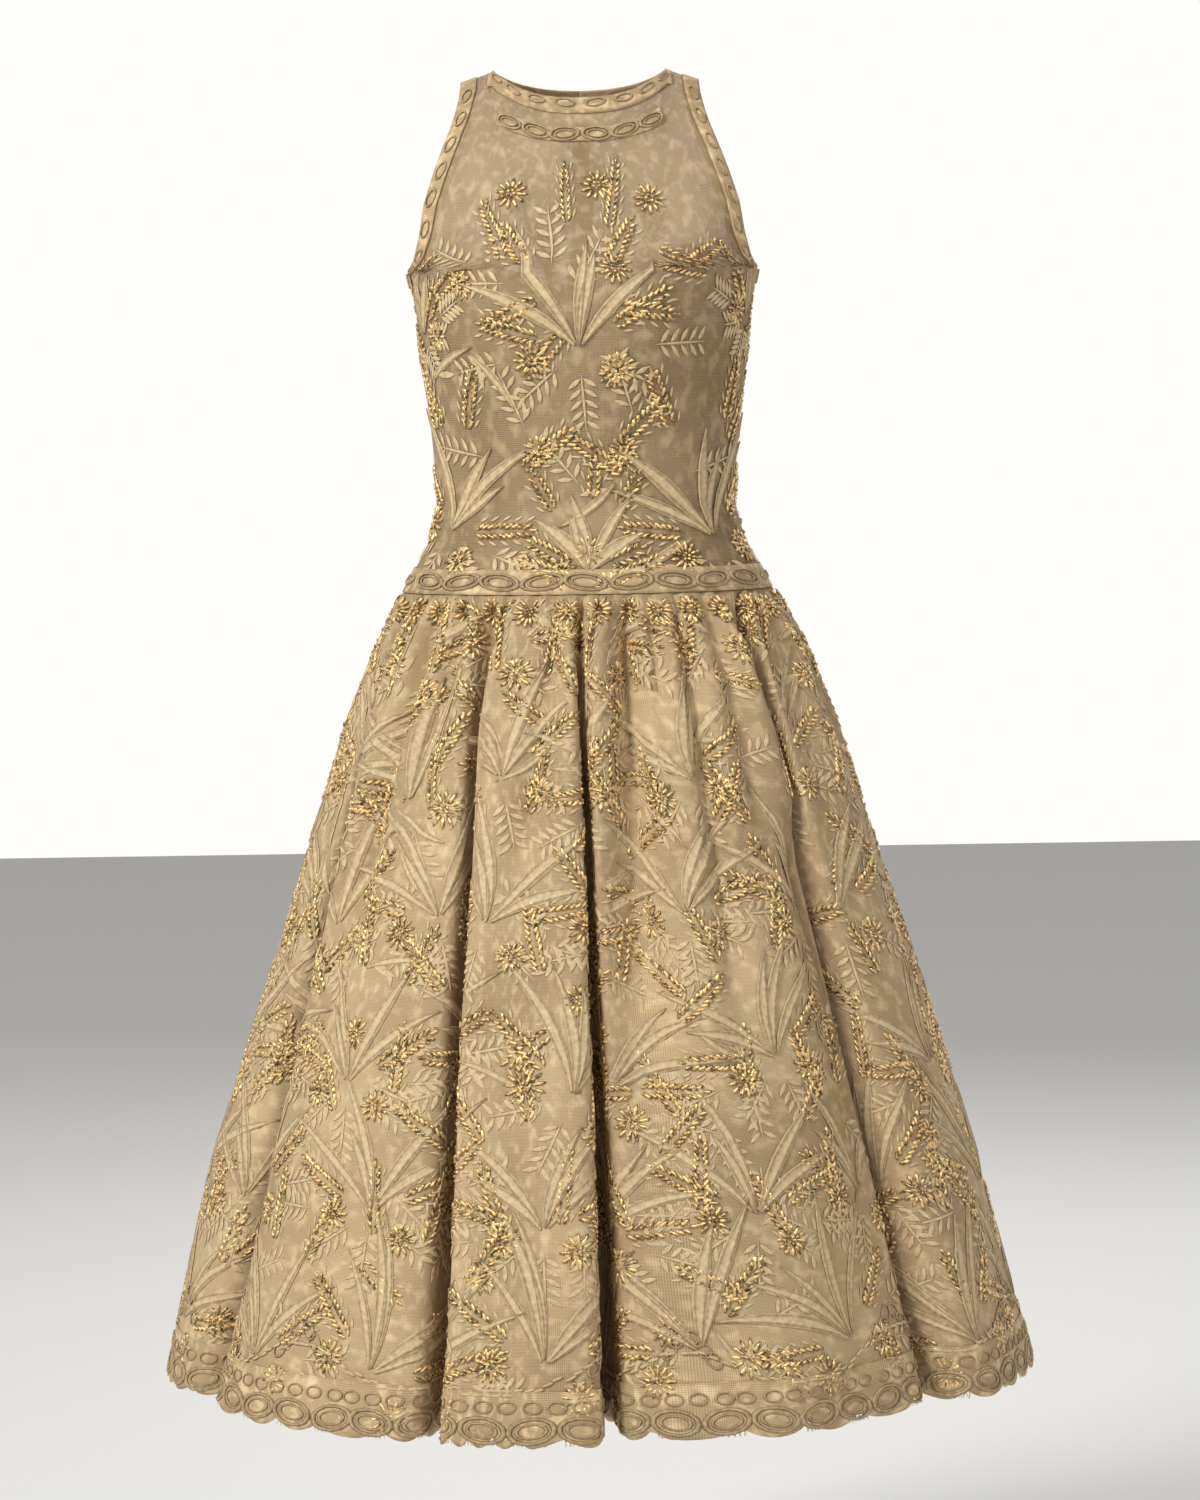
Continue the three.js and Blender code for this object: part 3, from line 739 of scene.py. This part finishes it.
class GOWN_OT_skirt_work(bpy.types.Operator):
    """Embroider the skirt with sheaves of wheat, blades, flowers and sprigs"""

    bl_idname = "gown.skirt_work"
    bl_label = "Skirt embroidery"

    def execute(self, context):
        sizes = context.scene.gown_sizes
        rng = np.random.default_rng(SEED)
        kit = kit_of_units()
        sheaves = [bouquet(kit, rng, sizes.sheaf * scale) for scale in (1.0, 0.92, 1.06, 0.86)]
        extras = [filler(kit, rng, kind) for kind in range(4)]
        for name in WIDTHS:
            cloth = skirt_cloth(name)
            work = Embroidery()
            tiers = 6
            for tier in range(tiers):
                v = 0.075 + 0.84 * tier / (tiers - 1)
                row = int(v * (cloth.across.shape[0] - 1))
                total = float(cloth.across[row, -1])
                arcs = cloth.across[row] / total
                columns = np.linspace(0, 1, len(arcs))
                count = max(int(round(total / sizes.spacing)), 2)
                for k in range(count):
                    way = (k + 0.5 + 0.5 * (tier % 2) + rng.uniform(-0.12, 0.12)) / count
                    at = float(np.interp(way % 1.0, arcs, columns))
                    place = v + rng.uniform(-0.02, 0.02)
                    motif = sheaves[rng.integers(4)]
                    work.lay(cloth, at, min(place, 0.93), motif, rng.uniform(-0.5, 0.5))
                    for _ in range(2):
                        other = (way + rng.uniform(-0.5, 0.5) / count) % 1.0
                        spot = float(np.clip(place + rng.uniform(-0.09, 0.09), 0.03, 0.93))
                        turn = rng.uniform(-math.pi, math.pi)
                        at = float(np.interp(other, arcs, columns))
                        work.lay(cloth, at, spot, extras[rng.integers(4)], turn, 0.0005)
            work.build(f"skirt_work_{name}", finishes(), "skirt_lace")
        return {"FINISHED"}


class GOWN_OT_bodice(bpy.types.Operator):
    """Make the sheer lace bodice, the strapless bodice under it and the back placket"""

    bl_idname = "gown.bodice"
    bl_label = "Bodice"

    def execute(self, context):
        paint = finishes()
        panels = (("front", "front", -1, 1, 84), ("back", "back_left", -1, -0.0009, 42),
                  ("back", "back_right", 0.0009, 1, 42))
        for side, name, start, end, columns in panels:
            def panel(u, v, s=side, a=start, b=end):
                return bodice_point(s, a + (b - a) * u, v * (LAST_ROW - 0.014))

            def under(u, v, s=side, a=start, b=end):
                turn = (a + (b - a) * u) * math.pi / 2
                if s == "front":
                    top = np.interp(148 * np.sin(turn), SWEETHEART[:, 0], SWEETHEART[:, 1])
                else:
                    top = np.full_like(u, -188.0)
                return bodice_ring(s, turn, top + (-432.7 - top) * v)

            sheet(f"bodice_cloth_{name}", f"bodice_{name}", panel, columns, 76, paint["bodice"],
                  0.0, 0.5)
            sheet(f"underbodice_cloth_{name}", f"underbodice_{name}", under, columns, 32, paint["lining"],
                  -3.1, 0.8)

        def placket(u, v):
            row = 3 + v * 15
            return bodice_point("back", (2 * u - 1) * 9 / 150, row)

        sheet("placket_cloth", "back_placket", placket, 6, 90, paint["edging"], 1.5, 0.8)
        return {"FINISHED"}


class GOWN_OT_edgings(bpy.types.Operator):
    """Make the neck, yoke, armhole and waist edgings with their ovals and flowers"""

    bl_idname = "gown.edgings"
    bl_label = "Edgings"

    def strip(self, name, node, side, left, right, top, foot):
        def place(u, v):
            row = top + (foot - top) * v
            return bodice_point(side, left(row) + (right(row) - left(row)) * u, row)

        wide = abs(float(np.mean(left(np.array([top])))) - float(np.mean(right(np.array([top])))))
        columns, rows = (64, 5) if wide > 0.3 else (5, 60)
        sheet(name, node, place, columns, rows, finishes()["edging"], 1.5, 0.7)

    def execute(self, context):
        kit = kit_of_units()
        neck = 76 / STRAP_HALF

        def inner(row, side):
            body, edge = (np.interp(row, np.arange(len(BODICE)), BODICE[:, k]) for k in (1, 2))
            depth = np.interp(row, np.arange(len(BODICE)), BODICE[:, 3 if side == "front" else 4])
            sweep = np.arcsin(np.minimum(edge / body, 1))
            chord = np.hypot(edge, depth * (1 - np.cos(sweep)))
            return 1 - GALLOON_WIDTH / chord

        spans = (("front", "front", -1, 1), ("left", "back", -1, 0), ("right", "back", 0, 1))
        for name, side, a, b in spans:
            self.strip(f"neck_edging_{name}", f"neck_galloon_{name}", side,
                       lambda row, k=a: k * neck + 0 * row, lambda row, k=b: k * neck + 0 * row, 0, 2)
            self.strip(f"waist_edging_{name}", f"waist_galloon_{name}", side,
                       lambda row, k=a: k + 0 * row, lambda row, k=b: k + 0 * row, 19, LAST_ROW - 0.02)
        self.strip("yoke_edging", "yoke_galloon", "front", lambda row: -0.62 + 0 * row,
                   lambda row: 0.62 + 0 * row, 3, 4)
        for side in ("front", "back"):
            for hand in ("left", "right"):
                plus = (hand == "left") == (side == "front")
                ends = (lambda row, s=side: inner(row, s), lambda row: 1 + 0 * row)
                if not plus:
                    ends = (lambda row: -1 + 0 * row, lambda row, s=side: -inner(row, s))
                self.strip(f"armhole_edging_{side}_{hand}", f"armhole_galloon_{side}_{hand}", side, *ends, 0, 11)
        work = Embroidery()
        for side in ("front", "back"):
            cloth = bodice_cloth(side)
            rows = cloth.across.shape[0] - 1
            for table_row, long, high, share in ((0.95, 0.025, 0.0145, 0.76), (3.5, 0.025, 0.014, 0.62),
                                                 (19.55, 0.036, 0.016, 1.0)):
                if side == "back" and table_row == 3.5:
                    continue
                row = round(table_row / LAST_ROW * rows)
                total = float(cloth.across[row, -1])
                arcs, columns = cloth.across[row] / total, np.linspace(0, 1, cloth.across.shape[1])
                lo, hi = (float(np.interp(0.5 - share / 2 * k, columns, arcs)) for k in (1, -1))
                count = round((hi - lo) * total / long)
                oval = links(kit, long * 1.12, high)
                for k in range(count):
                    at = float(np.interp(lo + (hi - lo) * (k + 0.5) / count, arcs, columns))
                    work.lay(cloth, at, table_row / LAST_ROW, oval, 0.12 * (-1) ** k, 0.0026)
            for hand in (-1, 1):
                way, last = 0.0, None
                for step in range(500):
                    table_row = 0.3 + step * 0.022
                    t = hand * (1 + float(inner(table_row, side))) / 2
                    here = bodice_point(side, np.array(t), np.array(table_row))
                    way += 0 if last is None else float(np.linalg.norm(here - last))
                    last = here
                    if table_row > 10.8:
                        break
                    if way >= 25 or step == 0:
                        way = 0.0
                        oval = links(kit, 0.0135, 0.029)
                        work.lay(cloth, (t + 1) / 2, table_row / LAST_ROW, oval, 0.1 * hand, 0.0026)
        flower = Motif()
        flower.flower(kit, (0, 0), 0.030, 14)
        for name in WIDTHS:
            cloth = skirt_cloth(name)
            total = float(cloth.across[6, -1])
            arcs, columns = cloth.across[6] / total, np.linspace(0, 1, cloth.across.shape[1])
            count = round(total / 0.042)
            for k in range(count):
                at = float(np.interp((k + 0.5) / count, arcs, columns))
                work.lay(cloth, at, 0.023, flower, 0.3 * k, 0.001)
        work.build("edging_work", finishes(), "galloon")
        return {"FINISHED"}


# Sheaves and loose motifs on the bodice, laid on the front and mirrored on the back: u across, v down, turn,
# then the sheaf's size or the loose motif's kind.
BODICE_PLACES = [
    (0.49, 0.655, 0.08, 0.2), (0.17, 0.885, -0.35, 0.17), (0.79, 0.9, 0.3, 0.19), (0.5, 0.955, -0.1, 0.12),
    (0.1, 0.63, 0.5, 0.11), (0.92, 0.61, -0.5, 0.11),
]
BODICE_LOOSE = [
    (0.29, 0.33, 0.0, 2), (0.7, 0.34, 0.4, 2), (0.55, 0.31, 0.9, 2), (0.33, 0.43, 0.7, 0), (0.6, 0.42, -0.6, 0),
    (0.42, 0.41, 0.2, 1), (0.82, 0.45, -1.1, 0), (0.17, 0.46, 1.2, 1), (0.22, 0.53, -1.0, 0),
    (0.7, 0.5, 1.4, 0), (0.36, 0.6, 2.0, 0), (0.63, 0.6, -1.7, 0), (0.35, 0.72, 0.4, 1), (0.62, 0.74, -0.8, 0),
    (0.4, 0.78, 1.1, 2), (0.58, 0.7, 0.3, 1), (0.1, 0.72, 0.6, 0), (0.92, 0.74, -0.6, 0), (0.2, 0.78, 1.4, 1),
    (0.82, 0.8, -1.3, 1), (0.5, 0.92, 0.0, 2), (0.42, 0.95, 1.2, 0), (0.6, 0.95, -1.2, 0),
]


class GOWN_OT_bodice_work(bpy.types.Operator):
    """Embroider the front and back of the bodice"""

    bl_idname = "gown.bodice_work"
    bl_label = "Bodice embroidery"

    def execute(self, context):
        rng = np.random.default_rng(SEED + 1)
        kit = kit_of_units()
        for side in ("front", "back"):
            cloth, work = bodice_cloth(side), Embroidery()
            for u, v, turn, size in BODICE_PLACES:
                work.lay(cloth, u if side == "front" else 1 - u, v, bouquet(kit, rng, size), turn)
            for u, v, turn, kind in BODICE_LOOSE:
                work.lay(cloth, u if side == "front" else 1 - u, v, filler(kit, rng, kind), turn)
            for _ in range(16):
                u, v = rng.uniform(0.06, 0.94), rng.uniform(0.45, 0.97)
                work.lay(cloth, u, v, filler(kit, rng, int(rng.integers(4))), rng.uniform(-3, 3), 0.0005)
            work.build(f"bodice_work_{side}", finishes(), "lace")
        return {"FINISHED"}


class GOWN_OT_stage(bpy.types.Operator):
    """Make the floor, the lamps, the world and the camera"""

    bl_idname = "gown.stage"
    bl_label = "Stage"

    def execute(self, context):
        scene = context.scene
        bm = bmesh.new()
        bmesh.ops.create_grid(bm, x_segments=1, y_segments=1, size=8)
        bmesh.ops.translate(bm, verts=bm.verts, vec=(0, 0, FLOOR_Z))
        paint, tree, shader = start_material("pale floor")
        join(tree, shader, Base_Color=(0.93, 0.92, 0.90, 1), Roughness=0.9)
        finish(bm, "floor", paint)
        lamps = (
            ("key", (-1.9, -2.2, 1.6), 100, 0.9),
            ("fill", (2.4, -2.0, 0.5), 17, 1.6),
            ("back", (0.6, 2.6, 1.2), 34, 1.6),
        )
        for name, place, power, size in lamps:
            data = bpy.data.lights.new(name, "AREA")
            data.energy, data.size = power, size
            lamp = bpy.data.objects.new(name, data)
            lamp.matrix_world = look(place, (0, 0, -0.55))
            scene.collection.objects.link(lamp)
        world = bpy.data.worlds.new("studio")
        scene.world = world
        world.use_nodes = True
        tree = world.node_tree
        tree.nodes.clear()
        rays = tree.nodes.new("ShaderNodeLightPath")
        seen = tree.nodes.new("ShaderNodeMath")
        seen.operation = "MAXIMUM"
        tree.links.new(rays.outputs["Is Camera Ray"], seen.inputs[0])
        tree.links.new(rays.outputs["Is Glossy Ray"], seen.inputs[1])
        level = Sock(tree, seen.outputs[0]) * 0.68 + 0.32
        sky = make_node(tree, "ShaderNodeBackground", {}, {"Color": (1, 0.99, 0.97, 1), "Strength": level})
        out = tree.nodes.new("ShaderNodeOutputWorld")
        tree.links.new(sky.out, out.inputs[0])
        data = bpy.data.cameras.new("camera")
        data.sensor_fit, data.sensor_height, data.lens = "VERTICAL", 36, 108.8
        data.clip_end = 50
        camera = bpy.data.objects.new("camera", data)
        pitch, roll = math.radians(90 - 4.33), math.radians(-0.87)
        turned = Matrix.Rotation(pitch, 4, "X") @ Matrix.Rotation(roll, 4, "Z")
        camera.matrix_world = Matrix.Translation((0.0086, -3.9, -0.276)) @ turned
        scene.collection.objects.link(camera)
        scene.camera = camera
        scene.view_settings.view_transform = "Standard"
        return {"FINISHED"}


def look(place, target):
    way = Vector(target) - Vector(place)
    return Matrix.Translation(place) @ way.to_track_quat("-Z", "Y").to_matrix().to_4x4()


class GOWN_PT_panel(bpy.types.Panel):
    """The gown's pieces and settings"""

    bl_label = "Lace gown"
    bl_idname = "GOWN_PT_panel"
    bl_space_type = "VIEW_3D"
    bl_region_type = "UI"
    bl_category = "Gown"

    def draw(self, context):
        for group in (context.scene.gown_sizes, context.scene.gown_colours):
            for name in group.bl_rna.properties.keys():
                if name not in ("rna_type", "name"):
                    self.layout.prop(group, name)
        for kind in OPERATORS:
            self.layout.operator(kind.bl_idname)


OPERATORS = (GOWN_OT_stage, GOWN_OT_skirt, GOWN_OT_hem, GOWN_OT_skirt_work, GOWN_OT_bodice, GOWN_OT_edgings,
             GOWN_OT_bodice_work)
CLASSES = (GownColours, GownSizes, *OPERATORS, GOWN_PT_panel)


def register():
    for kind in CLASSES:
        bpy.utils.register_class(kind)
    bpy.types.Scene.gown_colours = bpy.props.PointerProperty(type=GownColours)
    bpy.types.Scene.gown_sizes = bpy.props.PointerProperty(type=GownSizes)


def unregister():
    del bpy.types.Scene.gown_sizes
    del bpy.types.Scene.gown_colours
    for kind in reversed(CLASSES):
        bpy.utils.unregister_class(kind)


def main():
    register()
    bpy.ops.gown.stage()
    bpy.ops.gown.skirt()
    bpy.ops.gown.hem()
    bpy.ops.gown.skirt_work()
    bpy.ops.gown.bodice()
    bpy.ops.gown.edgings()
    bpy.ops.gown.bodice_work()


if __name__ == "__main__":
    main()
